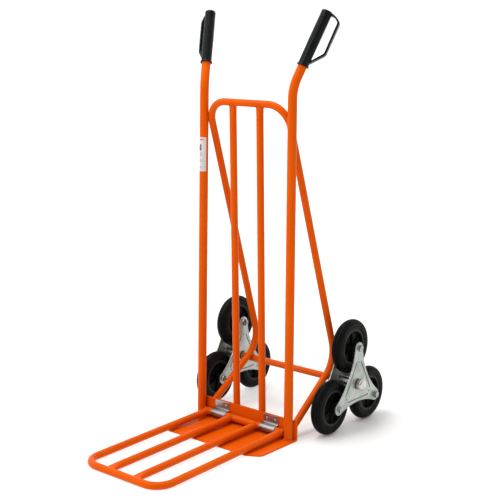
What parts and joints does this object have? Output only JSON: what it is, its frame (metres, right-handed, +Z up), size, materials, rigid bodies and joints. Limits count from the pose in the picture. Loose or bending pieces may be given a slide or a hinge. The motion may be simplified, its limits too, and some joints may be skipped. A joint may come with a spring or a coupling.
{
  "type": "stair-climbing sack truck",
  "caption": "Tubular steel sack truck with a folding toe extension, guarded grips and rotating three-wheel star brackets for climbing stairs.",
  "frame": {"origin": "centre of the toe plate's underside on the floor, midway between the uprights and in the plane of their centre lines", "axes": "+X to the right seen from the front, -Y out along the toe, +Y towards the wheels, +Z up"},
  "size_m": [0.5528, 0.9217, 1.2233],
  "materials": {
    "orange_paint": "gloss powder coat",
    "zinc_plate": "bright zinc plated",
    "bright_steel": "plated steel",
    "chrome_cap": "polished",
    "grip_plastic": "satin moulded",
    "rim_plastic": "satin moulded",
    "tyre_rubber": "solid rubber",
    "nylon": "moulded",
    "label_film": "printed film"
  },
  "bodies": {
    "frame": {"upright_left": "orange_paint", "upright_right": "orange_paint", "back_loop": "orange_paint", "back_bar_left": "orange_paint", "back_bar_right": "orange_paint", "base_plate": "orange_paint", "axle_tube": "orange_paint", "grip_left": "grip_plastic", "grip_right": "grip_plastic", "label": "label_film", "hinge_bracket_left": "zinc_plate", "hinge_bracket_right": "zinc_plate", "bracket_rivets": "zinc_plate", "axle_rod": "bright_steel", "axle_caps": "chrome_cap", "axle_washers": "zinc_plate"},
    "extension": {"extension_loop": "orange_paint", "extension_bar_left": "orange_paint", "extension_bar_right": "orange_paint", "extension_cross_tube": "orange_paint"},
    "star_left": {"star_inner_left": "zinc_plate", "star_outer_left": "zinc_plate", "star_hub_left": "zinc_plate", "star_bushes_left": "nylon", "wheel_bolts_left": "bright_steel", "wheel_nuts_left": "bright_steel", "wheel_washers_left": "zinc_plate", "wheel_spacers_left": "zinc_plate"},
    "wheel_left_top": {"tyre_left_top": "tyre_rubber", "rim_left_top": "rim_plastic", "bush_left_top": "bright_steel"},
    "wheel_left_front": {"tyre_left_front": "tyre_rubber", "rim_left_front": "rim_plastic", "bush_left_front": "bright_steel"},
    "wheel_left_rear": {"tyre_left_rear": "tyre_rubber", "rim_left_rear": "rim_plastic", "bush_left_rear": "bright_steel"},
    "star_right": {"star_inner_right": "zinc_plate", "star_outer_right": "zinc_plate", "star_hub_right": "zinc_plate", "star_bushes_right": "nylon", "wheel_bolts_right": "bright_steel", "wheel_nuts_right": "bright_steel", "wheel_washers_right": "zinc_plate", "wheel_spacers_right": "zinc_plate"},
    "wheel_right_top": {"tyre_right_top": "tyre_rubber", "rim_right_top": "rim_plastic", "bush_right_top": "bright_steel"},
    "wheel_right_front": {"tyre_right_front": "tyre_rubber", "rim_right_front": "rim_plastic", "bush_right_front": "bright_steel"},
    "wheel_right_rear": {"tyre_right_rear": "tyre_rubber", "rim_right_rear": "rim_plastic", "bush_right_rear": "bright_steel"}
  },
  "joints": [
    {"name": "extension_fold", "type": "hinge", "parent": "frame", "child": "extension", "pos_m": [0, 0, 0.02], "axis": [-1, 0, 0], "range_deg": [0, 88]},
    {"name": "star_left_spin", "type": "hinge", "parent": "frame", "child": "star_left", "pos_m": [-0.222, 0.2225, 0.13725], "axis": [1, 0, 0], "continuous": true},
    {"name": "star_right_spin", "type": "hinge", "parent": "frame", "child": "star_right", "pos_m": [0.222, 0.2225, 0.13725], "axis": [1, 0, 0], "continuous": true},
    {"name": "wheel_left_top_spin", "type": "hinge", "parent": "star_left", "child": "wheel_left_top", "pos_m": [-0.222, 0.2225, 0.24775], "axis": [1, 0, 0], "continuous": true},
    {"name": "wheel_left_front_spin", "type": "hinge", "parent": "star_left", "child": "wheel_left_front", "pos_m": [-0.222, 0.1268, 0.082], "axis": [1, 0, 0], "continuous": true},
    {"name": "wheel_left_rear_spin", "type": "hinge", "parent": "star_left", "child": "wheel_left_rear", "pos_m": [-0.222, 0.3182, 0.082], "axis": [1, 0, 0], "continuous": true},
    {"name": "wheel_right_top_spin", "type": "hinge", "parent": "star_right", "child": "wheel_right_top", "pos_m": [0.222, 0.2225, 0.24775], "axis": [1, 0, 0], "continuous": true},
    {"name": "wheel_right_front_spin", "type": "hinge", "parent": "star_right", "child": "wheel_right_front", "pos_m": [0.222, 0.1268, 0.082], "axis": [1, 0, 0], "continuous": true},
    {"name": "wheel_right_rear_spin", "type": "hinge", "parent": "star_right", "child": "wheel_right_rear", "pos_m": [0.222, 0.3182, 0.082], "axis": [1, 0, 0], "continuous": true}
  ]
}
